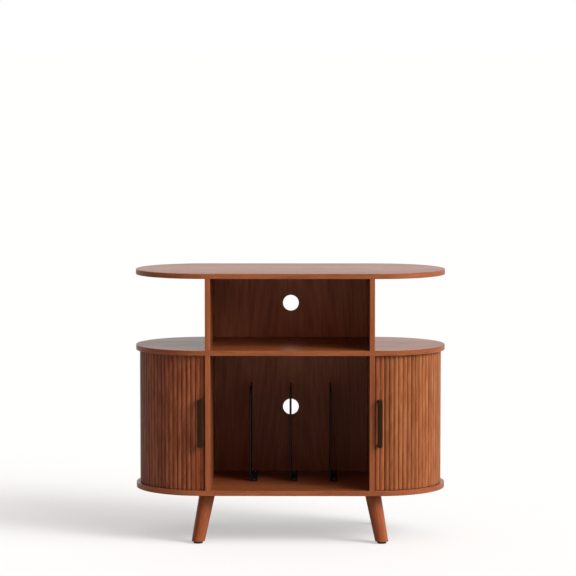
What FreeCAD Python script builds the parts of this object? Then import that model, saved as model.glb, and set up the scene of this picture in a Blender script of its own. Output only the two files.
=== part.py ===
import FreeCAD, Part
import math
import os

import Sketcher

Vector = FreeCAD.Vector

# Driving sizes, in millimetres and degrees. Each row is a name, a value and what it measures.
SIZES = [
    ("overall_depth", 400, "front to back of the oval boards, and the diameter of their round ends"),
    ("board", 15, "thickness of the oval boards, sides and partitions"),
    ("edge_ease", 1, "rounding of the boards' open edges"),
    ("bay_width", 455, "clear width of the turntable bay and of the record bay"),
    ("end_margin", 7.5, "from a partition's outer face to the centre of the round end"),
    ("leg_height", 142, "floor to the underside of the bottom board"),
    ("lower_bay_height", 388, "clear height of the record bay and the cupboards"),
    ("upper_bay_height", 205, "clear height of the turntable bay"),
    ("back_thickness", 5, "back boards"),
    ("back_setback", 3, "rear edge of the oval boards to the back boards' rear face"),
    ("cable_hole", 47, "diameter of the cable holes in the back boards"),
    ("door_recess", 11, "edge of the oval boards to the crowns of the reeds"),
    ("slat_thickness", 7.5, "tambour slat, back to crown"),
    ("reed_height", 2.3, "height of a reed's rounded crown"),
    ("reed_width", 12.9, "width of one slat"),
    ("reed_gap", 0.4, "gap between two slats at their backs"),
    ("cover_angle", 96.6, "angle that a closed door may cover"),
    ("travel_angle", 86, "angle that a door slides through"),
    ("lead_gap", 0.8, "closed door to partition"),
    ("stop_gap", 0.4, "door's end to the blind end of the track, along the track"),
    ("tongue_thickness", 4, "slat tongue that runs in the track"),
    ("track_depth", 6, "depth of the routed tracks"),
    ("track_clearance", 1, "track wall to tongue"),
    ("shoulder_gap", 1, "slat shoulder to the board above or below"),
    ("rest_gap", 0.3, "lower tongue to the floor of its track"),
    ("lift_gap", 1.5, "upper tongue to the roof of its track"),
    ("cloth_thickness", 1, "cloth that the slats are glued to"),
    ("cloth_margin", 1, "cloth's edge to the board above or below"),
    ("wall_gap", 5, "back of the slats to the cupboard's bent rear wall"),
    ("wall_thickness", 4, "bent rear wall"),
    ("wall_angle", 87, "angle where the bent rear wall begins, from straight ahead"),
    ("wall_slot_depth", 3, "depth of the slots that hold the rear wall"),
    ("wall_fit", 0.2, "slot wall to rear wall"),
    ("handle_length", 136, "handle, end to end"),
    ("handle_width", 14, "handle, across the reeds"),
    ("handle_projection", 24, "reed crowns to the handle's front face"),
    ("handle_bar", 7, "thickness of the handle's bar"),
    ("handle_foot", 8, "height of each handle foot"),
    ("handle_round", 2.5, "rounding of the handle's front edges"),
    ("handle_end_round", 3, "rounding of the handle's four outer corners"),
    ("handle_corner", 6, "inside corner between bar and foot"),
    ("handle_screw", 4, "diameter of the handle screws"),
    ("handle_screw_length", 16, "handle screw under its head"),
    ("handle_screw_head", 8, "diameter of the handle screw heads"),
    ("handle_head_height", 2.2, "height of the handle screw heads"),
    ("record_plate", 2.5, "thickness of the steel record dividers"),
    ("record_height", 269, "height of the record dividers"),
    ("record_depth", 200, "front to back of the record dividers"),
    ("record_spacing", 117.5, "middle of one record divider to the next"),
    ("record_rear_gap", 12, "record divider to the back board"),
    ("record_foot", 22, "width of a record divider's turned foot"),
    ("record_corner", 12, "rounding of a record divider's upper corners"),
    ("small_screw", 3.5, "diameter of the wood screws"),
    ("small_screw_length", 14, "wood screw under its head"),
    ("small_screw_head", 7, "diameter of the wood screw heads"),
    ("small_head_height", 1.6, "height of the wood screw heads"),
    ("dowel", 8, "diameter of the dowels"),
    ("dowel_depth", 9, "depth of a dowel in the face of a board"),
    ("dowel_reach", 20, "depth of a dowel in the end of a side or partition"),
    ("dowel_setback", 28, "edge of the oval boards to the outer dowels"),
    ("carcass_screw", 5, "thread diameter of the long furniture screws"),
    ("carcass_shank", 7, "shank diameter of the long furniture screws"),
    ("carcass_head", 10, "head diameter of the long furniture screws"),
    ("carcass_head_height", 4, "head height of the long furniture screws"),
    ("carcass_screw_length", 50, "long furniture screw, end to end"),
    ("carcass_setback", 38, "leg's axis to the outer long furniture screws"),
    ("leg_top", 45.5, "diameter of a leg at the bottom board"),
    ("leg_bottom", 37, "diameter of a leg at the floor"),
    ("splay_angle", 15.2, "lean of a leg from upright"),
    ("leg_offset", 3, "partition's middle to the leg's axis at the bottom board"),
    ("leg_setback", 62, "edge of the bottom board to the leg's axis"),
    ("pad_diameter", 27, "foot pad"),
    ("pad_height", 6.5, "foot pad"),
    ("pad_pin", 4, "diameter of the foot pad's pin"),
    ("pad_pin_length", 14, "foot pad's pin"),
    ("leg_bolt", 8, "diameter of the hanger bolts"),
    ("leg_bolt_reach", 30, "depth of a hanger bolt in its leg"),
    ("insert", 12, "outer diameter of the threaded inserts"),
    ("insert_length", 11, "length of the threaded inserts"),
    ("overrun", 10, "how far a cutting or trimming shape runs past what it cuts"),
]

# Places that several pieces share, as expressions on the sizes.
END_RADIUS = "(sizes.overall_depth / 2)"
END_X = "(sizes.bay_width / 2 + sizes.board + sizes.end_margin)"
INNER_X = "(sizes.bay_width / 2)"
OUTER_X = "(sizes.bay_width / 2 + sizes.board)"
SIDE_X = "(sizes.bay_width / 2 + sizes.board / 2)"
FLOOR_Z = "(sizes.leg_height + sizes.board)"
MIDDLE_Z = f"({FLOOR_Z} + sizes.lower_bay_height)"
LEDGE_Z = f"({MIDDLE_Z} + sizes.board)"
TOP_Z = f"({LEDGE_Z} + sizes.upper_bay_height)"
BACK_Y = f"({END_RADIUS} - sizes.back_setback)"
SIDE_REAR_Y = f"({BACK_Y} - sizes.back_thickness)"

# The doors, as angles from straight ahead and radii about the centre of a round end.
REED_RADIUS = f"({END_RADIUS} - sizes.door_recess)"
SLAT_RADIUS = f"({REED_RADIUS} - sizes.slat_thickness)"
WALL_OUTER = f"({SLAT_RADIUS} - sizes.wall_gap)"
WALL_INNER = f"({WALL_OUTER} - sizes.wall_thickness)"
TRACK_INNER = f"({SLAT_RADIUS} - sizes.track_clearance)"
TRACK_OUTER = f"({SLAT_RADIUS} + sizes.tongue_thickness + sizes.track_clearance)"
SLAT_PITCH = "(sizes.reed_width + sizes.reed_gap)"
STILE_WIDTH = f"({SLAT_PITCH} + sizes.reed_width)"
PITCH = f"(2 * asin({SLAT_PITCH} / 2 / {SLAT_RADIUS}) / 1 deg)"
LEAD = f"(asin(({STILE_WIDTH} / 2 + sizes.lead_gap - sizes.end_margin) / {SLAT_RADIUS}) / 1 deg)"
LEAD_EDGE = f"({LEAD} - asin({STILE_WIDTH} / 2 / {SLAT_RADIUS}) / 1 deg)"
SLAT_COUNT = f"floor((sizes.cover_angle / {PITCH}) - 2)"
FIRST_SLAT = f"({LEAD} + 1.5 * {PITCH})"
LAST_SLAT = f"({FIRST_SLAT} + ({SLAT_COUNT} - 1) * {PITCH})"
TRAIL_EDGE = f"({LAST_SLAT} + {PITCH} / 2)"
STOP = f"(asin(sizes.stop_gap / {SLAT_RADIUS}) / 1 deg)"
TRACK_START = f"({LEAD_EDGE} - {STOP})"
TRACK_END = f"({TRAIL_EDGE} + sizes.travel_angle + {STOP})"

# The whole stand is centred on the floor area that it covers, handles and all.
CENTRE_Y = f"(({REED_RADIUS} + sizes.handle_projection - {END_RADIUS}) / 2)"

# The legs' axes at the bottom board.
LEG_X = f"({SIDE_X} + sizes.leg_offset)"
LEG_Y = f"({END_RADIUS} - sizes.leg_setback)"

# The dowels and long screws lie in rows on both sides of the oval's centre line, clear of the legs.
OUTER_DOWEL_Y = f"({END_RADIUS} - sizes.dowel_setback)"
SCREW_Y = f"({LEG_Y} - sizes.carcass_setback)"
INNER_DOWEL_Y = f"({SCREW_Y} / 2)"
OUTER_ROWS = (OUTER_DOWEL_Y, f"-{OUTER_DOWEL_Y}")
DOWEL_ROWS = OUTER_ROWS + (INNER_DOWEL_Y, f"-{INNER_DOWEL_Y}")
SCREW_ROWS = (SCREW_Y, "0", f"-{SCREW_Y}")

# The indices by which a sketch knows its own origin, and the points of a line, arc or circle.
ORIGIN_INDICES = (-1, 1)
START_INDEX = 1
END_INDEX = 2
CENTRE_INDEX = 3

UP = (0, 0, 1)
ACROSS = (1, 0, 0)
DIAGONAL = "45"
QUARTER = "90"
HALF_TURN = "180"
SIDES = (("left", -1), ("right", 1))
DIVIDERS = (("left", -1), ("centre", 0), ("right", 1))
CORNERS = [(f"{word}_{hand}", side, end)
           for word, end in (("front", -1), ("rear", 1)) for hand, side in SIDES]

# Where the wood screws sit, as shares of the height or depth of the piece that they hold.
LOWER_SCREW_SHARES = (0.1, 0.5, 0.9)
UPPER_SCREW_SHARES = (0.15, 0.85)
FOOT_SCREW_SHARES = (0.15, 0.85)

# An edge counts as lying in a plane when it leaves it by less than this share of its length.
FLAT_SHARE = 0.001

doc = FreeCAD.newDocument("record_player_stand")
sheet = doc.addObject("Spreadsheet::Sheet", "sizes")
subparts = []


def fill_sheet():
    for row, (alias, number, note) in enumerate(SIZES, start=1):
        sheet.set(f"A{row}", alias)
        sheet.set(f"B{row}", str(number))
        sheet.set(f"C{row}", note)
        sheet.setAlias(f"B{row}", alias)
    doc.recompute()


def value(expression):
    """What an expression on the sizes comes to, as a plain number."""
    return float(sheet.evalExpression(expression))


def add(kind, name, **bound):
    """A new object whose properties are bound to expressions on the sizes."""
    made = doc.addObject(kind, name)
    for name_of_size, expression in bound.items():
        made.setExpression(name_of_size, expression)
    return made


def place(made, x="0", y="0", z="0", turn="0", axis=UP):
    """Bind an object's place, and its turn about an axis through that place."""
    direction = "; ".join(str(part) for part in axis)
    spot = f"vector({x}; {y}; {z})"
    made.setExpression("Placement", f"placement({spot}; rotation(vector({direction}); {turn}))")
    return made


def keep(made, name):
    """Name a finished sub-part."""
    made.Label = name
    subparts.append(made)
    return made


def grouped(name, members):
    group = doc.addObject("Part::Compound", name)
    group.Links = members
    return group


def copies(name, source, places):
    """A group of equal pieces, with a link to one source at each place."""
    links = []
    for number, where in enumerate(places, start=1):
        link = doc.addObject("App::Link", f"{name}_{number}")
        link.LinkedObject = source
        place(link, **where)
        links.append(link)
    return grouped(name, links)


def cut(name, base, tool):
    result = doc.addObject("Part::Cut", name)
    result.Base = base
    result.Tool = tool
    return result


def cut_all(name, base, tools):
    """Cut one tool after another out of a base."""
    for number, tool in enumerate(tools, start=1):
        base = cut(f"{name}_cut_{number}", base, tool)
    return base


def fuse(name, base, tool):
    result = doc.addObject("Part::Fuse", name)
    result.Base = base
    result.Tool = tool
    return result


def origin_part(body, role):
    """One of a body's own origin planes or axes."""
    return next(part for part in body.Origin.OriginFeatures if part.Role == role)


def new_sketch(body, name, plane):
    sketch = body.newObject("Sketcher::SketchObject", name)
    sketch.AttachmentSupport = [(origin_part(body, plane), "")]
    sketch.MapMode = "FlatFace"
    return sketch


def bind(sketch, constraint, expression):
    number = sketch.addConstraint(constraint)
    sketch.setExpression(f"Constraints[{number}]", expression)


def pin_point(sketch, geometry, point, spot):
    """Hold one point of a sketch at a pair of expressions, measured from its origin."""
    for way, expression in zip(("DistanceX", "DistanceY"), spot):
        distance = Sketcher.Constraint(way, *ORIGIN_INDICES, geometry, point, value(expression))
        bind(sketch, distance, expression)


def arc_to_the_left(start, end, radius):
    """The arc from start to end that bulges to the left of the way there."""
    chord = end - start
    left = Vector(-chord.y, chord.x, 0).normalize()
    middle = (start + end) * 0.5
    centre = middle - left * math.sqrt(radius ** 2 - (chord.Length / 2) ** 2)
    first = math.atan2(end.y - centre.y, end.x - centre.x)
    last = math.atan2(start.y - centre.y, start.x - centre.x)
    return Part.ArcOfCircle(Part.Circle(centre, Vector(0, 0, 1), radius), first, last)


def outline(body, name, plane, points, arcs=(), holes=()):
    """A closed sketch through points given as pairs of expressions.

    arcs maps the number of a side to its radius, and holes are circles as x, y, diameter.
    """
    arcs = dict(arcs)
    sketch = new_sketch(body, name, plane)
    corners = [Vector(value(x), value(y), 0) for x, y in points]
    count = len(corners)
    for side in range(count):
        start, end = corners[side], corners[(side + 1) % count]
        if side in arcs:
            sketch.addGeometry(arc_to_the_left(start, end, value(arcs[side])))
        else:
            sketch.addGeometry(Part.LineSegment(start, end))
    ways = [(END_INDEX, START_INDEX) if side in arcs else (START_INDEX, END_INDEX) for side in range(count)]
    for side, (way_in, way_out) in enumerate(ways):
        following = (side + 1) % count
        next_in, _ = ways[following]
        sketch.addConstraint(Sketcher.Constraint("Coincident", side, way_out, following, next_in))
        pin_point(sketch, side, way_in, points[side])
    for side, radius in arcs.items():
        bind(sketch, Sketcher.Constraint("Radius", side, value(radius)), radius)
    for x, y, diameter in holes:
        centre = Vector(value(x), value(y), 0)
        circle = sketch.addGeometry(Part.Circle(centre, Vector(0, 0, 1), value(diameter) / 2))
        pin_point(sketch, circle, CENTRE_INDEX, (x, y))
        bind(sketch, Sketcher.Constraint("Diameter", circle, value(diameter)), diameter)
    return sketch


def padded(body, sketch, length, **options):
    pad = body.newObject("PartDesign::Pad", f"{sketch.Name}_pad")
    pad.Profile = sketch
    pad.setExpression("Length", length)
    for option, setting in options.items():
        setattr(pad, option, setting)
    doc.recompute()
    return pad


def revolved(body, sketch):
    """Turn a sketch on the XZ plane all the way round the upright axis."""
    feature = body.newObject("PartDesign::Revolution", f"{sketch.Name}_turned")
    feature.Profile = sketch
    feature.ReferenceAxis = (sketch, ["V_Axis"])
    doc.recompute()
    return feature


def rounded(body, feature, radius, wanted):
    """Round the edges of the last feature that pass a test."""
    names = [f"Edge{number}" for number, edge in enumerate(feature.Shape.Edges, start=1) if wanted(edge)]
    fillet = body.newObject("PartDesign::Fillet", f"{body.Name}_rounding")
    fillet.Base = (feature, names)
    fillet.setExpression("Radius", radius)
    doc.recompute()
    return fillet


def is_level(edge):
    return edge.BoundBox.ZLength < edge.Length * FLAT_SHARE


def runs_forwards(edge):
    return edge.BoundBox.YLength > edge.Length * (1 - FLAT_SHARE)


def lies_at(edge, y):
    """Whether an edge stays in the upright plane at a distance y from the origin."""
    reach = edge.Length * FLAT_SHARE
    return abs(edge.BoundBox.YMin - y) < reach and abs(edge.BoundBox.YMax - y) < reach


def oval_board(name, underside, tools):
    """A board with straight long sides and two half-round ends, eased all round."""
    body = add("PartDesign::Body", f"{name}_blank")
    sketch = new_sketch(body, f"{name}_oval", "XY_Plane")
    x, radius = value(END_X), value(END_RADIUS)
    right = Part.Circle(Vector(x, 0, 0), Vector(0, 0, 1), radius)
    left = Part.Circle(Vector(-x, 0, 0), Vector(0, 0, 1), radius)
    sketch.addGeometry(Part.ArcOfCircle(right, -math.pi / 2, math.pi / 2))
    sketch.addGeometry(Part.LineSegment(Vector(x, radius, 0), Vector(-x, radius, 0)))
    sketch.addGeometry(Part.ArcOfCircle(left, math.pi / 2, 3 * math.pi / 2))
    sketch.addGeometry(Part.LineSegment(Vector(-x, -radius, 0), Vector(x, -radius, 0)))
    for side in range(4):
        sketch.addConstraint(Sketcher.Constraint("Tangent", side, END_INDEX, (side + 1) % 4, START_INDEX))
    pin_point(sketch, 0, CENTRE_INDEX, (END_X, "0"))
    pin_point(sketch, 2, CENTRE_INDEX, (f"-{END_X}", "0"))
    bind(sketch, Sketcher.Constraint("Radius", 0, radius), END_RADIUS)
    sketch.addConstraint(Sketcher.Constraint("Equal", 0, 2))
    pad = padded(body, sketch, "sizes.board")
    rounded(body, pad, "sizes.edge_ease", is_level)
    place(body, y=CENTRE_Y, z=underside)
    return keep(cut_all(name, body, tools), name)


def side_board(name, side, underside, height, tools):
    """An upright board beside a bay, with its two front edges eased."""
    body = add("PartDesign::Body", f"{name}_blank")
    inner, outer = f"{side} * {INNER_X}", f"{side} * {OUTER_X}"
    front = f"-{END_RADIUS}"
    points = [(inner, front), (outer, front), (outer, SIDE_REAR_Y), (inner, SIDE_REAR_Y)]
    pad = padded(body, outline(body, f"{name}_plan", "XY_Plane", points), height)
    middle = (value(SIDE_REAR_Y) - value(END_RADIUS)) / 2
    rounded(body, pad, "sizes.edge_ease", lambda edge: not is_level(edge) and edge.CenterOfMass.y < middle)
    place(body, y=CENTRE_Y, z=underside)
    return keep(cut_all(name, body, tools), name)


def back_board(name, underside, height, tools):
    """A thin board across the rear edges of two sides, with a round cable hole in its middle."""
    body = add("PartDesign::Body", f"{name}_blank")
    points = [(f"-{OUTER_X}", "0"), (OUTER_X, "0"), (OUTER_X, height), (f"-{OUTER_X}", height)]
    hole = ("0", f"{height} / 2", "sizes.cable_hole")
    padded(body, outline(body, f"{name}_face", "XZ_Plane", points, holes=[hole]), "sizes.back_thickness")
    place(body, y=f"{CENTRE_Y} + {BACK_Y}", z=underside)
    return keep(cut_all(name, body, tools), name)


def ring_sector(name, inner, outer, height, start, end, side, z):
    """Part of an upright ring about the centre of a round end.

    start and end are angles from straight ahead, towards that end's tip.
    """
    sweep = f"({end} - {start})"
    disc = add("Part::Cylinder", f"{name}_disc", Radius=outer, Height=height, Angle=sweep)
    core = add("Part::Cylinder", f"{name}_core", Radius=inner, Height=height)
    turn = f"{start} - {QUARTER}" if side > 0 else f"-({end}) - {QUARTER}"
    return place(cut(name, disc, core), f"{side} * {END_X}", CENTRE_Y, z, turn)


def wall_shape(name, side, fit, height, z):
    """The bent rear wall: a quarter ring and a short straight run to the partition."""
    inner, outer = f"({WALL_INNER} - {fit})", f"({WALL_OUTER} + {fit})"
    start = f"(sizes.wall_angle - asin({fit} / {WALL_OUTER}) / 1 deg)"
    bend = ring_sector(f"{name}_bend", inner, outer, height, start, HALF_TURN, side, z)
    run = add("Part::Box", f"{name}_run", Length="sizes.end_margin", Width=f"{outer} - {inner}",
              Height=height)
    place(run, OUTER_X if side > 0 else f"-{END_X}", f"{CENTRE_Y} + {inner}", z)
    return fuse(name, bend, run)


def track_tool(name, side, z):
    """What the router takes away for one curved track."""
    return ring_sector(name, TRACK_INNER, TRACK_OUTER, "sizes.track_depth", TRACK_START, TRACK_END, side, z)


def slat_profile(body, name, width, reeds):
    """A slat's section, facing forwards: a flat back and one or more rounded reeds."""
    back = f"-{SLAT_RADIUS}"
    shoulder = f"(sizes.reed_height - {REED_RADIUS})"
    half_reed = f"({width} / {2 * reeds})"
    crown = f"(({half_reed} * {half_reed} + sizes.reed_height * sizes.reed_height) / 2 / sizes.reed_height)"
    points = [(f"-{width} / 2", back), (f"{width} / 2", back)]
    for number in range(reeds + 1):
        points.append((f"({width} / 2 - {2 * number} * {half_reed})", shoulder))
    arcs = {2 + number: crown for number in range(reeds)}
    return outline(body, name, "XY_Plane", points, arcs)


def slat_features(body, name, width, reeds):
    """The reeded face between the boards, and the thinner tongue that runs in both tracks."""
    face = padded(body, slat_profile(body, f"{name}_reeds", width, reeds),
                  "sizes.lower_bay_height - 2 * sizes.shoulder_gap")
    back, front = f"-{SLAT_RADIUS}", f"-({SLAT_RADIUS} + sizes.tongue_thickness)"
    left, right = f"-{width} / 2", f"{width} / 2"
    points = [(left, back), (right, back), (right, front), (left, front)]
    sketch = outline(body, f"{name}_tongue", "XY_Plane", points)
    drop = "(sizes.shoulder_gap + sizes.track_depth - sizes.rest_gap)"
    sketch.setExpression("AttachmentOffset.Base.z", f"-{drop}")
    reach = "2 * sizes.track_depth - sizes.rest_gap - sizes.lift_gap"
    return [face, padded(body, sketch, f"sizes.lower_bay_height + {reach}")]


def door_slats(name, side):
    """The row of loose slats behind the lead stile, one solid each."""
    body = add("PartDesign::Body", name)
    features = slat_features(body, name, "sizes.reed_width", 1)
    row = body.newObject("PartDesign::PolarPattern", f"{name}_row")
    row.Originals = features
    row.Axis = (origin_part(body, "Z_Axis"), [""])
    row.setExpression("Occurrences", SLAT_COUNT)
    row.setExpression("Angle", f"({SLAT_COUNT} - 1) * {PITCH}")
    body.Tip = row
    turn = FIRST_SLAT if side > 0 else f"-{LAST_SLAT}"
    place(body, f"{side} * {END_X}", CENTRE_Y, f"{FLOOR_Z} + sizes.shoulder_gap", turn)
    return keep(body, name)


def door_stile(name, side, screws):
    """The wider first slat, two reeds across, that carries the handle."""
    body = add("PartDesign::Body", f"{name}_blank")
    slat_features(body, name, STILE_WIDTH, 2)
    place(body, f"{side} * {END_X}", CENTRE_Y, f"{FLOOR_Z} + sizes.shoulder_gap", f"{side} * {LEAD}")
    return keep(cut(name, body, screws), name)


def door_cloth(name, side):
    """The cloth behind the slats, clear of the handle screws and of the tracks."""
    inner = f"({SLAT_RADIUS} - sizes.cloth_thickness)"
    height = "(sizes.lower_bay_height - 2 * sizes.cloth_margin)"
    start = f"({LEAD} + {PITCH} / 2)"
    z = f"{FLOOR_Z} + sizes.cloth_margin"
    return keep(ring_sector(name, inner, SLAT_RADIUS, height, start, TRAIL_EDGE, side, z), name)


def door_handle(name, side, screws):
    """A flat bar on two feet, padded from its side view and rounded at its corners and front."""
    body = add("PartDesign::Body", f"{name}_blank")
    front = f"-({REED_RADIUS} + sizes.handle_projection)"
    behind = f"({front} + sizes.handle_bar)"
    seat = f"-{REED_RADIUS}"
    end = "(sizes.handle_length / 2)"
    gap = f"({end} - sizes.handle_foot)"
    points = [
        (front, f"-{end}"), (front, end), (seat, end), (seat, gap),
        (behind, gap), (behind, f"-{gap}"), (seat, f"-{gap}"), (seat, f"-{end}"),
    ]
    sketch = outline(body, f"{name}_side", "YZ_Plane", points)
    pad = padded(body, sketch, "sizes.handle_width", SideType="Symmetric")
    foot_middle = (value(end) + value(gap)) / 2
    ends = rounded(body, pad, "sizes.handle_end_round",
                   lambda edge: runs_forwards(edge) and abs(edge.CenterOfMass.z) > foot_middle)
    soft = rounded(body, ends, "sizes.handle_round", lambda edge: lies_at(edge, value(front)))
    rounded(body, soft, "sizes.handle_corner", lambda edge: lies_at(edge, value(behind)) and is_level(edge))
    middle = f"{FLOOR_Z} + sizes.lower_bay_height / 2"
    place(body, f"{side} * {END_X}", CENTRE_Y, middle, f"{side} * {LEAD}")
    return keep(cut(name, body, screws), name)


def pan_screw(name, diameter, length, head, head_height):
    """A screw along +Z with the underside of its head at zero."""
    body = add("PartDesign::Body", name)
    points = [
        ("0", f"-{head_height}"), (f"{head} / 2", f"-{head_height}"), (f"{head} / 2", "0"),
        (f"{diameter} / 2", "0"), (f"{diameter} / 2", length), ("0", length),
    ]
    revolved(body, outline(body, f"{name}_section", "XZ_Plane", points))
    return body


def carcass_screw(name):
    """A long furniture screw along +Z with its flat head's outer face at zero."""
    body = add("PartDesign::Body", name)
    head, shank, thread = "sizes.carcass_head / 2", "sizes.carcass_shank / 2", "sizes.carcass_screw / 2"
    points = [
        ("0", "0"), (head, "0"), (head, "sizes.carcass_head_height"), (shank, "sizes.carcass_head_height"),
        (shank, "sizes.board"), (thread, "sizes.board"),
        (thread, "sizes.carcass_screw_length"), ("0", "sizes.carcass_screw_length"),
    ]
    revolved(body, outline(body, f"{name}_section", "XZ_Plane", points))
    return body


def record_divider(name, number, screws):
    """A steel plate on a turned foot, with its upper corners rounded."""
    body = add("PartDesign::Body", f"{name}_blank")
    left, right = "-sizes.record_plate / 2", "sizes.record_plate / 2"
    foot = f"({left} + sizes.record_foot)"
    points = [
        (left, "0"), (left, "sizes.record_height"), (right, "sizes.record_height"),
        (right, "sizes.record_plate"), (foot, "sizes.record_plate"), (foot, "0"),
    ]
    pad = padded(body, outline(body, f"{name}_end", "XZ_Plane", points), "sizes.record_depth")
    top = value("sizes.record_height")
    rounded(body, pad, "sizes.record_corner",
            lambda edge: edge.BoundBox.XLength > edge.Length / 2 and edge.BoundBox.ZMin > top / 2)
    rear = f"{CENTRE_Y} + {SIDE_REAR_Y} - sizes.record_rear_gap"
    place(body, f"{number} * sizes.record_spacing", rear, FLOOR_Z)
    return keep(cut(name, body, screws), name)


def leg_axis(level):
    """How far a leg's axis has moved outwards, along X and along Y alike, at a height."""
    return f"((sizes.leg_height - {level}) * tan(sizes.splay_angle) * cos({DIAGONAL}))"


def leg(name, side, end, tools):
    """A tapered leg that leans outwards, cut flat under the board and above its pad."""
    length = "(sizes.leg_height / cos(sizes.splay_angle))"
    taper = f"((sizes.leg_top - sizes.leg_bottom) / 2 / {length} * sizes.overrun)"
    turned = add("Part::Cone", f"{name}_turned",
                 Radius1=f"sizes.leg_bottom / 2 - {taper}", Radius2=f"sizes.leg_top / 2 + {taper}",
                 Height=f"{length} + 2 * sizes.overrun")
    below = f"(sizes.overrun * sin(sizes.splay_angle) * cos({DIAGONAL}))"
    x = f"{side} * ({LEG_X} + {leg_axis('0')} + {below})"
    y = f"{CENTRE_Y} + {end} * ({LEG_Y} + {leg_axis('0')} + {below})"
    z = "-(sizes.overrun * cos(sizes.splay_angle))"
    place(turned, x, y, z, "sizes.splay_angle", (end, -side, 0))
    span = "(4 * sizes.leg_top)"
    slab = add("Part::Box", f"{name}_slab", Length=span, Width=span,
               Height="sizes.leg_height - sizes.pad_height")
    place(slab, f"{side} * {LEG_X} - {span} / 2", f"{CENTRE_Y} + {end} * {LEG_Y} - {span} / 2",
          "sizes.pad_height")
    flat = doc.addObject("Part::Common", f"{name}_flat")
    flat.Base = turned
    flat.Tool = slab
    return keep(cut_all(name, flat, tools), name)


def foot_pad(name, side, end):
    """A round glide with a pin that is driven into the leg."""
    disc = add("Part::Cylinder", f"{name}_disc", Radius="sizes.pad_diameter / 2", Height="sizes.pad_height")
    pin = add("Part::Cylinder", f"{name}_pin", Radius="sizes.pad_pin / 2",
              Height="sizes.pad_height + sizes.pad_pin_length")
    out = leg_axis("sizes.pad_height")
    pad = fuse(name, disc, pin)
    place(pad, f"{side} * ({LEG_X} + {out})", f"{CENTRE_Y} + {end} * ({LEG_Y} + {out})", "0")
    return keep(pad, name)


def places_along(levels_and_rows):
    """Places in both sides of the stand, at each level and each distance from the centre line."""
    return [dict(x=f"{side} * {SIDE_X}", y=f"{CENTRE_Y} + {row}", z=level)
            for _, side in SIDES for level, rows in levels_and_rows for row in rows]


fill_sheet()

# Dowels and long screws that join the carcass.
short_dowel = add("Part::Cylinder", "short_dowel", Radius="sizes.dowel / 2",
                  Height="sizes.dowel_depth + sizes.dowel_reach")
dowels = keep(copies("dowels", short_dowel, places_along([
    (f"{TOP_Z} - sizes.dowel_reach", DOWEL_ROWS),
    (f"{FLOOR_Z} - sizes.dowel_depth", OUTER_ROWS),
])), "dowels")

long_dowel = add("Part::Cylinder", "long_dowel", Radius="sizes.dowel / 2",
                 Height="sizes.board + 2 * sizes.dowel_reach")
through_dowels = keep(copies("through_dowels", long_dowel, places_along([
    (f"{MIDDLE_Z} - sizes.dowel_reach", DOWEL_ROWS),
])), "through_dowels")

furniture_screw = carcass_screw("furniture_screw")
carcass_screws = keep(copies("carcass_screws", furniture_screw, places_along([
    ("sizes.leg_height", SCREW_ROWS),
    (MIDDLE_Z, SCREW_ROWS),
])), "carcass_screws")

# Wood screws through the back boards and through the feet of the record dividers.
wood_screw = pan_screw("wood_screw", "sizes.small_screw", "sizes.small_screw_length",
                       "sizes.small_screw_head", "sizes.small_head_height")
back_levels = [f"{FLOOR_Z} + sizes.lower_bay_height * {share}" for share in LOWER_SCREW_SHARES]
back_levels += [f"{LEDGE_Z} + sizes.upper_bay_height * {share}" for share in UPPER_SCREW_SHARES]
back_screws = keep(copies("back_screws", wood_screw, [
    dict(x=f"{side} * {SIDE_X}", y=f"{CENTRE_Y} + {BACK_Y}", z=level, turn=QUARTER, axis=ACROSS)
    for _, side in SIDES for level in back_levels
]), "back_screws")

record_screws = keep(copies("record_divider_screws", wood_screw, [
    dict(x=f"{number} * sizes.record_spacing + sizes.record_foot / 2",
         y=f"{CENTRE_Y} + {SIDE_REAR_Y} - sizes.record_rear_gap - {share} * sizes.record_depth",
         z=f"{FLOOR_Z} + sizes.record_plate", turn=HALF_TURN, axis=ACROSS)
    for _, number in DIVIDERS for share in FOOT_SCREW_SHARES
]), "record_divider_screws")

# Hanger bolts and threaded inserts hold the legs.
leg_tops = [dict(x=f"{side} * {LEG_X}", y=f"{CENTRE_Y} + {end} * {LEG_Y}") for _, side, end in CORNERS]
bolt = add("Part::Cylinder", "hanger_bolt", Radius="sizes.leg_bolt / 2",
           Height="sizes.leg_bolt_reach + sizes.insert_length")
insert_blank = add("Part::Cylinder", "insert_blank", Radius="sizes.insert / 2", Height="sizes.insert_length")
insert_bore = add("Part::Cylinder", "insert_bore", Radius="sizes.leg_bolt / 2", Height="sizes.insert_length")
insert_sleeve = cut("insert_sleeve", insert_blank, insert_bore)
hanger_bolts = keep(copies("hanger_bolts", bolt, [
    dict(z="sizes.leg_height - sizes.leg_bolt_reach", **spot) for spot in leg_tops
]), "hanger_bolts")
leg_inserts = keep(copies("leg_inserts", insert_sleeve, [
    dict(z="sizes.leg_height", **spot) for spot in leg_tops
]), "leg_inserts")
insert_holes = copies("insert_holes", insert_blank, [
    dict(z="sizes.leg_height", **spot) for spot in leg_tops
])

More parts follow.
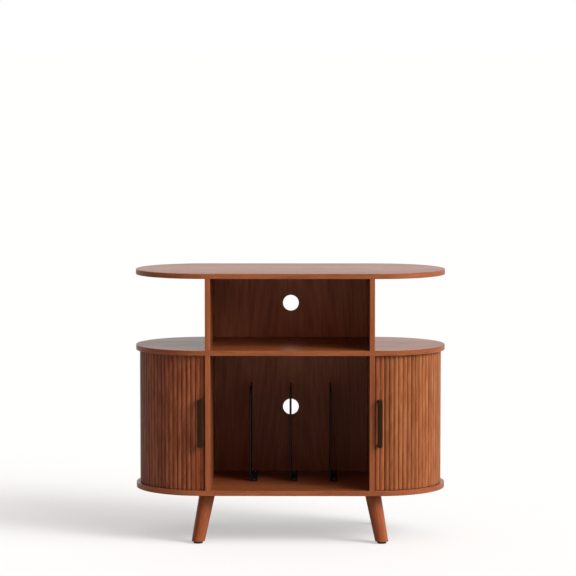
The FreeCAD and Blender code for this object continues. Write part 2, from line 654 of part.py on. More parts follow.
# The two cupboards: a bent rear wall and a tambour door each.
handle_screw = pan_screw("handle_screw", "sizes.handle_screw", "sizes.handle_screw_length",
                         "sizes.handle_screw_head", "sizes.handle_head_height")
wall_slots = []
tracks_below = []
tracks_above = []
for hand, side in SIDES:
    low = f"{FLOOR_Z} - sizes.wall_slot_depth"
    wall_height = "(sizes.lower_bay_height + 2 * sizes.wall_slot_depth - sizes.wall_fit)"
    slot_height = "(sizes.lower_bay_height + 2 * sizes.wall_slot_depth)"
    keep(wall_shape(f"rear_wall_{hand}", side, "0", wall_height, low), f"rear_wall_{hand}")
    wall_slots.append(wall_shape(f"wall_slot_{hand}", side, "sizes.wall_fit", slot_height, low))
    tracks_below.append(track_tool(f"track_below_{hand}", side, f"{FLOOR_Z} - sizes.track_depth"))
    tracks_above.append(track_tool(f"track_above_{hand}", side, MIDDLE_Z))
    half_span = "(sizes.handle_length - sizes.handle_foot) / 2"
    heights = [f"{FLOOR_Z} + sizes.lower_bay_height / 2 + {way} * {half_span}" for way in (-1, 1)]
    screws = copies(f"handle_screws_{hand}", handle_screw, [
        dict(y=f"-{SLAT_RADIUS}", z=height, turn=QUARTER, axis=ACROSS) for height in heights
    ])
    place(screws, f"{side} * {END_X}", CENTRE_Y, "0", f"{side} * {LEAD}")
    keep(screws, f"handle_screws_{hand}")
    door_stile(f"door_stile_{hand}", side, screws)
    door_slats(f"door_slats_{hand}", side)
    door_cloth(f"door_cloth_{hand}", side)
    door_handle(f"door_handle_{hand}", side, screws)

# The carcass.
oval_board("top_board", TOP_Z, [dowels])
oval_board("middle_board", MIDDLE_Z, tracks_above + wall_slots + [through_dowels, carcass_screws])
oval_board("bottom_board", "sizes.leg_height",
           tracks_below + wall_slots + [dowels, carcass_screws, insert_holes, record_screws])
for hand, side in SIDES:
    side_board(f"upper_side_{hand}", side, LEDGE_Z, "sizes.upper_bay_height",
               [dowels, through_dowels, carcass_screws, back_screws])
    side_board(f"partition_{hand}", side, FLOOR_Z, "sizes.lower_bay_height",
               [dowels, through_dowels, carcass_screws, back_screws])
back_board("upper_back", LEDGE_Z, "sizes.upper_bay_height", [back_screws])
back_board("lower_back", FLOOR_Z, "sizes.lower_bay_height", [back_screws])
for hand, number in DIVIDERS:
    record_divider(f"record_divider_{hand}", number, record_screws)

# The legs and their pads.
for corner, side, end in CORNERS:
    pad = foot_pad(f"foot_pad_{corner}", side, end)
    leg(f"leg_{corner}", side, end, [hanger_bolts, pad])

doc.recompute()

for made in doc.Objects:
    if "Invalid" in made.State or "Error" in made.State:
        raise RuntimeError(f"{made.Label} failed: {made.State}")
for made in subparts:
    if made.Shape.isNull() or not made.Shape.isValid() or not made.Shape.Solids:
        raise RuntimeError(f"{made.Label} has no valid solid")

os.makedirs("parts", exist_ok=True)
for made in subparts:
    made.Shape.exportStep(f"parts/{made.Label}.step")
print(len(subparts), "sub-parts,", sum(len(made.Shape.Solids) for made in subparts), "solids")
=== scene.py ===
"""The looks of the record player stand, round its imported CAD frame. Lengths are in metres."""

import math

import bmesh
import bpy
from mathutils import Matrix, Vector


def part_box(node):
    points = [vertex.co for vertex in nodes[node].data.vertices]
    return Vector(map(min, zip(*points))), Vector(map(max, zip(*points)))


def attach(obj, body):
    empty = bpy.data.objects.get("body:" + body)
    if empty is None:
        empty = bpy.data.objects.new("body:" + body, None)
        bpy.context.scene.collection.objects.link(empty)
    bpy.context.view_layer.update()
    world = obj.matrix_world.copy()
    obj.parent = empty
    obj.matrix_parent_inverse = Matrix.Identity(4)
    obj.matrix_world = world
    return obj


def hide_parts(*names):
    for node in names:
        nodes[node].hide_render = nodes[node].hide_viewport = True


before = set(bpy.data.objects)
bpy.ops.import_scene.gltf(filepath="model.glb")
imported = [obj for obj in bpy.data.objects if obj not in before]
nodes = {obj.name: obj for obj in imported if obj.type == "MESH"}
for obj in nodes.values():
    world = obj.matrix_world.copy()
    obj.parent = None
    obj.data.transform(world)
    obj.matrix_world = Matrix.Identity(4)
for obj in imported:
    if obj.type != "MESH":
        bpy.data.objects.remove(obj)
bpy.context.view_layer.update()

# Places in the CAD model: the boards' middle from front to rear, the axes of the half-round ends,
# the middle of the sides and partitions, the back boards' rear faces, the bottom board's underside
# and top, the middle board's underside and top, and the heights of the two bays.
CENTRE_Y = 0.0065
END_X = 0.25
SIDE_X = 0.235
REAR_Y = 0.2035
LEG_TOP = 0.142
FLOOR_Z = 0.157
MIDDLE_Z = 0.545
LEDGE_Z = 0.56
LOWER_HEIGHT = 0.388
UPPER_HEIGHT = 0.205

# The legs' slope along X and along Y: they splay by 15.2 degrees on their diagonals.
LEG_LEAN = math.tan(math.radians(15.2)) * math.cos(math.radians(45))

# The doors: the radius of the reeds' crests and their height, the radius of the slats' backs with
# the chord and the angle from slat to slat, the angle of the stile's middle, and the way from a
# handle's middle to its screws.
REED_RADIUS = 0.189
REED_HEIGHT = 0.0023
SLAT_RADIUS = 0.1815
SLAT_CHORD = 0.0133
SLAT_PITCH = 2 * math.asin(SLAT_CHORD / 2 / SLAT_RADIUS)
LEAD_ANGLE = math.radians(2.02)
HANDLE_REACH = 0.064

# The record dividers: how far apart they stand, where their screws go, the plate and its corners,
# the hem with the heights at which it starts, the bend at the foot and the foot's corners.
DIVIDER_PITCH = 0.1175
DIVIDER_SCREW_X = 0.011
DIVIDER_REAR = 0.1865
DIVIDER_DEPTH = 0.2
PLATE = 0.0025
PLATE_CORNER = 0.012
HEM = 0.005
HEM_WIDTH = 0.008
HEM_STEP = 0.0006
HEM_STARTS = ((0.006, PLATE / 2), (0.011, HEM / 2))
BEND = 0.002
FOOT_CORNER = 0.003

# Tones of the wood, as linear colours: pores and late wood, middle, light streaks.
BOARD_TONES = ((0.09, 0.022, 0.007), (0.22, 0.064, 0.022), (0.31, 0.105, 0.040))
EDGE_TONES = ((0.135, 0.033, 0.011), (0.252, 0.072, 0.0255), (0.36, 0.118, 0.046))
DOOR_TONES = ((0.138, 0.0405, 0.0145), (0.326, 0.112, 0.0425), (0.470, 0.197, 0.087))
STILE_TONES = ((0.147, 0.0405, 0.0140), (0.352, 0.112, 0.0405), (0.500, 0.196, 0.083))
LEG_TONES = ((0.10, 0.024, 0.008), (0.235, 0.060, 0.020), (0.34, 0.100, 0.036))
BACK_TONES = ((0.215, 0.058, 0.0245), (0.335, 0.109, 0.047), (0.42, 0.151, 0.070))
# The upper back is lighter than the lower back, as painted light in the upper bay.
UPPER_BACK_PAINTED_LIGHT_TONES = ((0.255, 0.074, 0.033), (0.46, 0.155, 0.070), (0.62, 0.232, 0.110))
BEECH_TONES = ((0.42, 0.25, 0.13), (0.55, 0.36, 0.20), (0.62, 0.43, 0.26))
TONE_STOPS = (0.24, 0.50, 0.76)

# Grain: how far its noises are drawn out, and the scale, detail, roughness and distortion of each.
GRAIN_STRETCH = {"X": (0.03, 1, 1), "Z": (1, 1, 0.03), "level": (0.09, 0.09, 1)}
BROAD_NOISE = (26, 3, 0.5, 0.6)
STREAK_NOISE = (190, 4, 0.65, 0.3)
LINE_NOISE = (620, 2, 0.6)
PORE_NOISE = (1500, 2, 0.6)
BROAD_SHARE = 0.45
LINE_SHARE = 0.25
PORE_STARTS, PORE_FULL = 0.52, 0.72
PORE_DARKNESS = 0.45
GRAIN_BUMP = {"strength": 0.35, "distance": 0.00012}

# Figure: a board cuts through growth rings, whose axis lies askew behind its face and wanders.
RING_NOISE = (9, 2, 0.5)
RING_SLOPE = 0.10
RING_DEPTH = 0.085
RING_DRIFT = 0.14
RING_RATE = 520
BOARD_FIGURE = 0.045
SIDE_FIGURE = 0.04

# Faces whose normal has less than this along a board's thin axis are its banded edges.
EDGE_NORMAL = 0.6
# Each leg takes its grain from another part of the noise.
LEG_SHIFT = 0.3

# Roughness follows a noise over the band in which most of its values lie.
NOISE_BAND = (0.3, 0.7)
ROUGHNESS_RANGE = 0.07
BACK_ROUGHNESS = 0.42
BEECH_ROUGHNESS = 0.55
DOOR_SHINE = 0.2

# The doors' colour is multiplied by a tone for each slat, by painted shade that is darkest between
# the reeds, and by a mottle: its dark and its light tone on the left (-1) and right (1) door. The
# left door's mottle is darker and redder as painted shade, the right door's lighter and greyer as
# painted light.
SLAT_TONES = ((0.0, (0.80, 0.77, 0.75)), (0.5, (0.93, 0.92, 0.91)), (1.0, (1.0, 1.0, 1.0)))
SLAT_SEED, SLAT_SEED_STEP = 5.1, 1.37
# Painted shade between the reeds: the doors get darker and redder towards the grooves.
GROOVE_SHADE_TONES = ((0.0, (0.84, 0.58, 0.36)), (0.55, (0.95, 0.88, 0.78)), (1.0, (1.0, 1.0, 1.0)))
GROOVE_SHADE_END = REED_RADIUS - 0.2 * REED_HEIGHT
MOTTLE_NOISE = (100, 3, 0.6)
MOTTLE_STRETCH = (1, 1, 0.16)
MOTTLE_STOPS = (0.38, 0.60)
# The mottle's tones also paint shade on the left door and light on the right door.
MOTTLE_AND_PAINTED_LIGHT_TONES = {-1: ((0.60, 0.425, 0.36), (0.85, 0.74, 0.79)),
                1: ((0.75, 0.66, 0.56), (0.935, 0.962, 0.955))}

# The other materials: main and worn colours.
BRONZE = ((0.017, 0.0078, 0.0036), (0.028, 0.0125, 0.0065))
BLACK_COAT = ((0.005, 0.005, 0.005), (0.013, 0.013, 0.013))
ZINC = ((0.45, 0.45, 0.46), (0.62, 0.62, 0.63))
PAD_PLASTIC = ((0.012, 0.012, 0.012), (0.03, 0.03, 0.03))
CLOTH_TONES = ((0.2, (0.05, 0.035, 0.025)), (0.8, (0.16, 0.12, 0.085)))
SPECK_DETAIL = (3, 0.6)
CLOUD_NOISE = (38, 2, 0.5)
METAL_RANGE = 0.06
METAL_BUMP = 0.4
WEAVE_RATE = 2 * math.pi / 0.0012
WEAVE_SHARE = 0.2
WEAVE_BUMP = {"strength": 0.5, "distance": 0.0002}
SLUB_NOISE = (700, 2, 0.6)
SLUB_STRETCH = 0.1
CLOTH_ROUGHNESS = (0.8, 0.95)

# Screws and pads as radii and heights. Heads run from the recess outwards.
SMALL_HEAD = [(0.0024, -0.0016), (0.0029, -0.00145), (0.0033, -0.0009), (0.0035, -0.0002), (0.0035, 0)]
HANDLE_HEAD = [(0.0028, -0.0022), (0.0034, -0.002), (0.0038, -0.0013), (0.004, -0.0003), (0.004, 0)]
LONG_HEAD = [(0.0046, 0), (0.005, 0.0004), (0.005, 0.004)]
LONG_SHANK = [(0.0035, 0.004), (0.0035, 0.015), (0.0018, 0.0155)]
PAD_HOLLOW, PAD_PIN_END = 0.0006, 0.0205
PAD_PROFILE = [(0.0095, 0), (0.0122, 0.0003), (0.0131, 0.0011), (0.0135, 0.0024),
               (0.0135, 0.0056), (0.0129, 0.0065), (0.002, 0.0065), (0.002, 0.0199)]
PAD_ANGLES = [number * math.pi / 24 for number in range(48)]

# A screw's proportions: the recess's floor to its rim, the thread's root and the tip's ring to
# the crest, and where the thread ends and the tip starts, in pitches before the end. The thread
# has four loops to a turn, each screw is turned from the one before, and rows are from the middle.
RECESS_TAPER = 0.72
THREAD_ROOT = 0.72
TIP_RADIUS = 0.6
THREAD_END = 2
TIP_START = 1.7
THREAD_LOOPS = 4
THREAD_SHARPNESS = 1.6
SCREW_TURN = 2.4
SCREW_ROWS = (-0.1, 0, 0.1)
SMOOTH_ANGLE = math.radians(38)

# The studio's floor, its sky and its key light.
STUDIO_RADIUS = 600
FLOOR_GREY = (0.44, 0.44, 0.44, 1)
FLOOR_GLOW = 0.445
WHITE = (1, 1, 1, 1)
SKY_COLOUR = (0.8, 0.772, 0.752, 1)
FILL_COLOUR = (0.85, 0.55, 0.51, 1)
FILL_STRENGTH = 0.49
KEY_AZIMUTH, KEY_ELEVATION = 60, 30
KEY_COLOUR = (0.99, 1, 0.98)

# The photograph's camera: its focal length in pixels, its place, and its turn and drop in degrees.
FOCAL_PIXELS = 2876.5
PHOTO_WIDTH = 576
SENSOR_WIDTH = 36
CAMERA_PLACE = (0.0623, -8.3435, 1.4258)
CAMERA_TURN, CAMERA_DROP = -0.4754, 4.8124


class Nodes:
    """A node tree, with a short call for each kind of node."""

    def __init__(self, tree):
        self.tree = tree
        self.tree.nodes.clear()

    def set(self, socket, source):
        if isinstance(source, bpy.types.NodeSocket):
            self.tree.links.new(source, socket)
        else:
            socket.default_value = source

    def add(self, kind, *sources, **settings):
        """A new node with its settings. Its first inputs take the sources."""
        node = self.tree.nodes.new(kind)
        for name, setting in settings.items():
            setattr(node, name, setting)
        for socket, source in zip(node.inputs, sources):
            self.set(socket, source)
        return node

    def where(self, kind="Object"):
        return self.add("ShaderNodeTexCoord").outputs[kind]

    def camera_ray(self):
        return self.add("ShaderNodeLightPath").outputs["Is Camera Ray"]

    def split(self, vector):
        return self.add("ShaderNodeSeparateXYZ", vector).outputs

    def join(self, x, y, z):
        return self.add("ShaderNodeCombineXYZ", x, y, z).outputs[0]

    def math(self, operation, *sources):
        return self.add("ShaderNodeMath", *sources, operation=operation).outputs[0]

    def length(self, *sides):
        """The hypotenuse over two sides."""
        return self.math("SQRT", self.math("ADD", *(self.math("MULTIPLY", side, side) for side in sides)))

    def stretch(self, vector, factors):
        return self.add("ShaderNodeVectorMath", vector, factors, operation="MULTIPLY").outputs[0]

    def noise(self, vector, scale, detail, roughness, distortion=0):
        node = self.add("ShaderNodeTexNoise")
        for name, source in (("Vector", vector), ("Scale", scale), ("Detail", detail),
                             ("Roughness", roughness), ("Distortion", distortion)):
            self.set(node.inputs[name], source)
        return node.outputs["Fac"]

    def chance(self, number):
        node = self.add("ShaderNodeTexWhiteNoise", noise_dimensions="1D")
        self.set(node.inputs["W"], number)
        return node.outputs["Value"]

    def spread(self, source, low, high, new_low=0, new_high=1):
        return self.add("ShaderNodeMapRange", source, low, high, new_low, new_high).outputs[0]

    def ramp(self, source, stops):
        node = self.add("ShaderNodeValToRGB", source)
        elements = node.color_ramp.elements
        while len(elements) < len(stops):
            elements.new(0.5)
        for element, (position, colour) in zip(elements, stops):
            element.position = position
            element.color = (*colour, 1)
        return node.outputs["Color"]

    def mix(self, factor, first, second, kind="MIX"):
        node = self.add("ShaderNodeMix", data_type="RGBA", blend_type=kind)
        for number, source in ((0, factor), (6, first), (7, second)):
            self.set(node.inputs[number], source)
        return node.outputs[2]

    def multiply(self, first, second):
        return self.mix(1.0, first, second, "MULTIPLY")


class Shader(Nodes):
    """A material with one principled surface."""

    def __init__(self, name, **settings):
        self.material = bpy.data.materials.new(name)
        self.material.use_nodes = True
        super().__init__(self.material.node_tree)
        self.surface = self.add("ShaderNodeBsdfPrincipled")
        self.add("ShaderNodeOutputMaterial", self.surface.outputs["BSDF"])
        for socket, setting in settings.items():
            self.surface_input(socket.replace("_", " "), setting)

    def surface_input(self, name, source):
        self.set(self.surface.inputs[name], source)

    def bump(self, height, strength, distance):
        node = self.add("ShaderNodeBump")
        for name, source in (("Strength", strength), ("Distance", distance), ("Height", height)):
            self.set(node.inputs[name], source)
        self.surface_input("Normal", node.outputs[0])


def growth_rings(shader, place, along, stretch):
    """Waves from the growth rings that a board's face cuts through."""
    x, y, z = shader.split(place)
    run, across = (x, y) if along == "X" else (z, x)
    drift = shader.noise(shader.stretch(place, stretch), *RING_NOISE)
    deep = shader.math("MULTIPLY_ADD", run, RING_SLOPE, RING_DEPTH)
    off = shader.math("ADD", across, shader.math("MULTIPLY_ADD", drift, RING_DRIFT, -RING_DRIFT / 2))
    return shader.math("SINE", shader.math("MULTIPLY", shader.length(deep, off), RING_RATE))


def grain(shader, place, along, tones, figure=0.0):
    """Wood colour, its value and pores, with the grain along one axis or lying level all round."""
    stretch = GRAIN_STRETCH[along]
    broad, streak, line, pit = (shader.noise(shader.stretch(place, stretch), *noise)
                                for noise in (BROAD_NOISE, STREAK_NOISE, LINE_NOISE, PORE_NOISE))
    pore = shader.spread(pit, PORE_STARTS, PORE_FULL)
    value = shader.math("MULTIPLY_ADD", broad, BROAD_SHARE,
                        shader.math("MULTIPLY", streak, 1 - BROAD_SHARE))
    if figure:
        value = shader.math("MULTIPLY_ADD", growth_rings(shader, place, along, stretch), figure, value)
    value = shader.math("MULTIPLY_ADD", line, LINE_SHARE,
                        shader.math("SUBTRACT", value, LINE_SHARE / 2))
    colour = shader.ramp(value, tuple(zip(TONE_STOPS, tones)))
    dark = shader.math("MULTIPLY", pore, PORE_DARKNESS)
    return shader.mix(dark, colour, (*tones[0], 1)), value, pore


def wood(name, along, tones, figure=0.0, edge=None, edge_along="level",
         coordinates=Nodes.where, tint=None, roughness=0.27, shine=0.24):
    """Satin lacquered wood. edge is the thin axis of a board with banded edges."""
    shader = Shader(name, Specular_IOR_Level=shine)
    place = coordinates(shader)
    colour, value, pore = grain(shader, place, along, tones, figure)
    if edge:
        normal = shader.split(shader.where("Normal"))["XYZ".index(edge)]
        banded = shader.math("LESS_THAN", shader.math("ABSOLUTE", normal), EDGE_NORMAL)
        edge_colour, _, _ = grain(shader, place, edge_along, EDGE_TONES)
        colour = shader.mix(banded, colour, edge_colour)
    if tint:
        colour = shader.multiply(colour, tint(shader))
    shader.surface_input("Base Color", colour)
    shader.surface_input("Roughness",
                         shader.spread(value, *NOISE_BAND, roughness + ROUGHNESS_RANGE, roughness))
    shader.bump(shader.math("SUBTRACT", shader.math("MULTIPLY", value, 0.5), pore), **GRAIN_BUMP)
    return shader.material


def leg_coordinates(shader):
    """Coordinates that lean with the legs, so that the grain runs along them."""
    x, y, z = shader.split(shader.where())
    lean = shader.math("MULTIPLY", shader.math("SUBTRACT", LEG_TOP, z), LEG_LEAN)
    out = shader.math("SUBTRACT", shader.math("ABSOLUTE", x), lean)
    centred = shader.math("SUBTRACT", y, CENTRE_Y)
    aside = shader.math("SUBTRACT", shader.math("ABSOLUTE", centred), lean)
    return shader.join(shader.math("MULTIPLY_ADD", shader.math("SIGN", x), LEG_SHIFT, out),
                       shader.math("MULTIPLY_ADD", shader.math("SIGN", y), LEG_SHIFT, aside), z)


def slat_tint(side):
    """A tint for one door: a tone for each slat, painted shade between the reeds, and a mottle that is
    darker on the left door as painted shade and lighter on the right as painted light.
    """
    def tint(shader):
        x, y, _ = shader.split(shader.where())
        out = shader.math("SUBTRACT", shader.math("MULTIPLY", x, side), END_X)
        ahead = shader.math("SUBTRACT", CENTRE_Y, y)
        angle = shader.math("SUBTRACT", shader.math("ARCTAN2", out, ahead), LEAD_ANGLE)
        number = shader.math("FLOOR", shader.math("DIVIDE", angle, SLAT_PITCH))
        luck = shader.chance(shader.math("MULTIPLY_ADD", number, SLAT_SEED_STEP, SLAT_SEED + side))
        # Painted shade: the colour darkens as the surface sinks from the reeds' crests into the grooves.
        height = shader.spread(shader.length(out, ahead), REED_RADIUS - REED_HEIGHT, GROOVE_SHADE_END)
        blotch = shader.noise(shader.stretch(shader.where(), MOTTLE_STRETCH), *MOTTLE_NOISE)
        tone = shader.multiply(shader.ramp(luck, SLAT_TONES), shader.ramp(height, GROOVE_SHADE_TONES))
        # A mottle with painted shade on the left door and painted light on the right door.
        mottle = shader.ramp(blotch, tuple(zip(MOTTLE_STOPS, MOTTLE_AND_PAINTED_LIGHT_TONES[side])))
        return shader.multiply(tone, mottle)
    return tint


def metal(name, colours, roughness, metallic=0.0, speck=900, bumpy=0.00005, shine=0.5):
    """Metal or plastic with a fine mottled surface, in its main and its worn colour."""
    shader = Shader(name, Metallic=metallic, Specular_IOR_Level=shine)
    place = shader.where()
    mottle = shader.noise(place, speck, *SPECK_DETAIL)
    cloud = shader.noise(place, *CLOUD_NOISE)
    main, worn = ((*colour, 1) for colour in colours)
    shader.surface_input("Base Color", shader.mix(shader.math("MULTIPLY", cloud, mottle), main, worn))
    shader.surface_input("Roughness", shader.spread(cloud, *NOISE_BAND, roughness - METAL_RANGE,
                                                    roughness + METAL_RANGE))
    shader.bump(mottle, METAL_BUMP, bumpy)
    return shader.material


def cloth(name):
    """Plain woven cotton backing."""
    shader = Shader(name, Sheen_Weight=0.25)
    x, y, z = shader.split(shader.where())
    out = shader.math("SUBTRACT", shader.math("ABSOLUTE", x), END_X)
    ahead = shader.math("SUBTRACT", CENTRE_Y, y)
    around = shader.math("MULTIPLY", shader.math("ARCTAN2", out, ahead), SLAT_RADIUS)
    warp, weft = (shader.math("SINE", shader.math("MULTIPLY", way, WEAVE_RATE)) for way in (around, z))
    weave = shader.math("MULTIPLY", warp, weft)
    slub = shader.noise(shader.join(around, 0.0, shader.math("MULTIPLY", z, SLUB_STRETCH)), *SLUB_NOISE)
    tone = shader.math("MULTIPLY_ADD", weave, WEAVE_SHARE, slub)
    shader.surface_input("Base Color", shader.ramp(tone, CLOTH_TONES))
    shader.surface_input("Roughness", shader.spread(slub, *NOISE_BAND, *CLOTH_ROUGHNESS))
    shader.bump(weave, **WEAVE_BUMP)
    return shader.material


def matching(*starts):
    return [name for name in nodes if name.startswith(starts)]


def paint(names, material):
    for name in names:
        piece = nodes[name]
        piece.data.materials.clear()
        piece.data.materials.append(material)


def sweep(start, end, steps):
    """Angles from start to end, with both of them."""
    return [start + (end - start) * number / steps for number in range(steps + 1)]


def outline(corners, height):
    """Points at a height, from angles and radii."""
    return [(radius * math.cos(angle), radius * math.sin(angle), height) for angle, radius in corners]


def circle(radius, height, angles):
    return outline([(angle, radius) for angle in angles], height)


def cross_recess(half, reach):
    """A cross as angles and radii, with a point at each of its corners."""
    corner, eighth = math.atan2(half, reach), math.pi / 4
    middle = (corner + eighth) / 2
    arm, bay = (corner, reach / math.cos(corner)), (middle, half / math.sin(middle))
    quarter = [(0, reach), arm, bay, (eighth, half / math.sin(eighth)),
               (2 * eighth - middle, bay[1]), (2 * eighth - corner, arm[1])]
    return [(number * 2 * eighth + angle, radius) for number in range(4) for angle, radius in quarter]


def hexagon_recess(half):
    """A hexagon as angles and radii, with four points on each side."""
    sixth = math.pi / 3
    angles = [number * sixth / 4 for number in range(24)]
    return [(angle, half / math.cos(angle % sixth - sixth / 2)) for angle in angles]


def thread(root, crest, pitch, start, end, angles):
    """Loops of a screw thread, rising along its length."""
    loops = []
    for number in range(int((end - start) / pitch * THREAD_LOOPS)):
        height = start + number * pitch / THREAD_LOOPS
        corners = []
        for angle in angles:
            phase = (height / pitch - angle / (2 * math.pi)) % 1
            rise = (1 - abs(2 * phase - 1)) ** THREAD_SHARPNESS
            corners.append((angle, root + (crest - root) * rise))
        loops.append(outline(corners, height))
    return loops


def screw(recess, depth, head, shank, crest, pitch, start, length):
    """A screw along +Z, as loops. Its thread starts at a height and its recess has a depth."""
    angles = [angle for angle, _ in recess]
    top = head[0][1]
    rim = outline(recess, top)
    floor = [(RECESS_TAPER * x, RECESS_TAPER * y, top + depth) for x, y, _ in rim]
    loops = [[(0, 0, top + depth)], floor, rim]
    loops += [circle(radius, height, angles) for radius, height in head + shank]
    loops += thread(THREAD_ROOT * crest, crest, pitch, start, length - THREAD_END * pitch, angles)
    loops += [circle(TIP_RADIUS * crest, length - TIP_START * pitch, angles), [(0, 0, length)]]
    return loops


def strip(build, near, far, closed=True):
    """Faces between two rows of vertices. A row of one vertex closes an end."""
    count = max(len(near), len(far))
    for number in range(count if closed else count - 1):
        after = (number + 1) % count
        corners = (near[number % len(near)], near[after % len(near)],
                   far[after % len(far)], far[number % len(far)])
        build.faces.new(dict.fromkeys(corners))


def strips(build, loops, closed=True):
    """Rows of vertices along loops of points, with faces between each row and the next."""
    rows = [[build.verts.new(point) for point in loop] for loop in loops]
    for near, far in zip(rows, rows[1:]):
        strip(build, near, far, closed)
    return rows


def stand_in(build, node, name, body, material):
    """Make the mesh that was built into a piece that stands for a CAD node."""
    bmesh.ops.recalc_face_normals(build, faces=build.faces)
    for face in build.faces:
        face.smooth = True
    for edge in build.edges:
        edge.smooth = edge.calc_face_angle(0) < SMOOTH_ANGLE
    mesh = bpy.data.meshes.new(name)
    build.to_mesh(mesh)
    build.free()
    mesh.materials.append(material)
    piece = bpy.data.objects.new(name, mesh)
    bpy.context.scene.collection.objects.link(piece)
    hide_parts(node)
    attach(piece, body)


def spot(x, y, z, turn=0, axis="X"):
    """A place for a fitting, turned by some degrees about an axis."""
    return Matrix.Translation((x, y, z)) @ Matrix.Rotation(math.radians(turn), 4, axis)


def fitting(node, loops, places, body, material):
    """Turned pieces, one at each place, that stand for a CAD node."""
    build = bmesh.new()
    for number, place in enumerate(places):
        turned = place @ Matrix.Rotation(SCREW_TURN * number, 4, "Z")
        strips(build, [[turned @ Vector(point) for point in loop] for loop in loops])
    stand_in(build, node, f"{node}_turned", body, material)


def hem_section(middle, place, inwards, half):
    """A hem's cross-section: points from the plate's right face round the edge to its left face."""
    points = [(HEM_WIDTH, PLATE / 2), (HEM_WIDTH - HEM_STEP, half)]
    points += [(HEM / 2 * (1 - math.sin(angle)), half * math.cos(angle)) for angle in sweep(0, math.pi, 8)]
    points += [(HEM_WIDTH - HEM_STEP, -half), (HEM_WIDTH, -PLATE / 2)]
    return [(middle + aside, place[0] + inwards[0] * depth, place[1] + inwards[1] * depth)
            for depth, aside in points]


def hem_stations(front, rear, bottom, top):
    """The hem's course up the front and down the rear: places, ways inwards and half thicknesses."""
    stations = [((front, bottom + level), (1, 0), half) for level, half in HEM_STARTS]
    for hinge, start in ((front + PLATE_CORNER, math.pi), (rear - PLATE_CORNER, math.pi / 2)):
        for angle in sweep(start, start - math.pi / 2, 8):
            way = (math.cos(angle), math.sin(angle))
            place = (hinge + PLATE_CORNER * way[0], top - PLATE_CORNER + PLATE_CORNER * way[1])
            stations.append((place, (-way[0], -way[1]), HEM / 2))
    return stations + [((rear, bottom + level), (-1, 0), half) for level, half in reversed(HEM_STARTS)]


def foot_stations(reach):
    """The foot's course: the angle of the bend, the way along the foot, and how far its corners draw in."""
    stations = [(angle, 0, 0) for angle in sweep(0, math.pi / 2, 4)]
    for angle in sweep(0, math.pi / 2, 4):
        along = reach - FOOT_CORNER * (1 - math.sin(angle))
        stations.append((math.pi / 2, along, FOOT_CORNER * (1 - math.cos(angle))))
    return stations


def hemmed_divider(node, material):
    """A steel plate with a hem round its front, top and rear edges, bent at the bottom into a foot."""
    (left, front, bottom), (right, rear, top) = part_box(node)
    middle = left + PLATE / 2
    build = bmesh.new()
    stations = hem_stations(front, rear, bottom, top)
    rows = strips(build, [hem_section(middle, *station) for station in stations], closed=False)
    build.faces.new([row[0] for row in rows])
    build.faces.new([row[-1] for row in rows])
    ring = rows[0] + rows[-1][::-1]
    hinge_x, hinge_z = middle + PLATE / 2 + BEND, bottom + PLATE + BEND
    section = [(hinge_x - vertex.co.x, vertex.co.y) for vertex in ring]
    centre, half_depth = (front + rear) / 2, (rear - front) / 2
    for angle, along, inset in foot_stations(right - hinge_x):
        squeeze = 1 - inset / half_depth
        fresh = [build.verts.new((hinge_x - reach * math.cos(angle) + along,
                                  centre + (y - centre) * squeeze,
                                  hinge_z - reach * math.sin(angle))) for reach, y in section]
        strip(build, ring, fresh)
        ring = fresh
    build.faces.new(ring)
    stand_in(build, node, f"{node}_hemmed", "carcass", material)


paint(matching("top_board", "middle_board", "bottom_board"),
      wood("board_wood", "X", BOARD_TONES, BOARD_FIGURE, edge="Z"))
paint(matching("upper_side", "partition"),
      wood("side_wood", "Z", BOARD_TONES, SIDE_FIGURE, edge="X", edge_along="Z"))
# The upper back's lighter tones are painted light in the upper bay.
for part, name, tones, figure in (("upper_back", "upper_back_wood_painted_light", UPPER_BACK_PAINTED_LIGHT_TONES, BOARD_FIGURE),
                                  ("lower_back", "lower_back_wood", BACK_TONES, BOARD_FIGURE),
                                  ("rear_wall", "wall_wood", BACK_TONES, 0)):
    paint(matching(part), wood(name, "Z", tones, figure, roughness=BACK_ROUGHNESS))
for hand, side in (("left", -1), ("right", 1)):
    for part, tones in (("stile", STILE_TONES), ("slats", DOOR_TONES)):
        paint([f"door_{part}_{hand}"],
              wood(f"{part}_wood_{hand}", "Z", tones, tint=slat_tint(side), shine=DOOR_SHINE))
paint(matching("leg_front", "leg_rear"),
      wood("leg_wood", "Z", LEG_TONES, coordinates=leg_coordinates))
paint(matching("dowels", "through_dowels"),
      wood("beech", "Z", BEECH_TONES, roughness=BEECH_ROUGHNESS))
paint(matching("door_handle"), metal("bronze", BRONZE, 0.48, shine=0.12))
black_coat = metal("black_coat", BLACK_COAT, 0.52, speck=1400, bumpy=0.0001, shine=0.3)
for hand in ("left", "centre", "right"):
    hemmed_divider(f"record_divider_{hand}", black_coat)
zinc = metal("zinc", ZINC, 0.34, metallic=1.0)
pad_plastic = metal("pad_plastic", PAD_PLASTIC, 0.6)
paint(matching("hanger_bolts", "leg_inserts"), zinc)
paint(matching("door_cloth"), cloth("backing_cloth"))

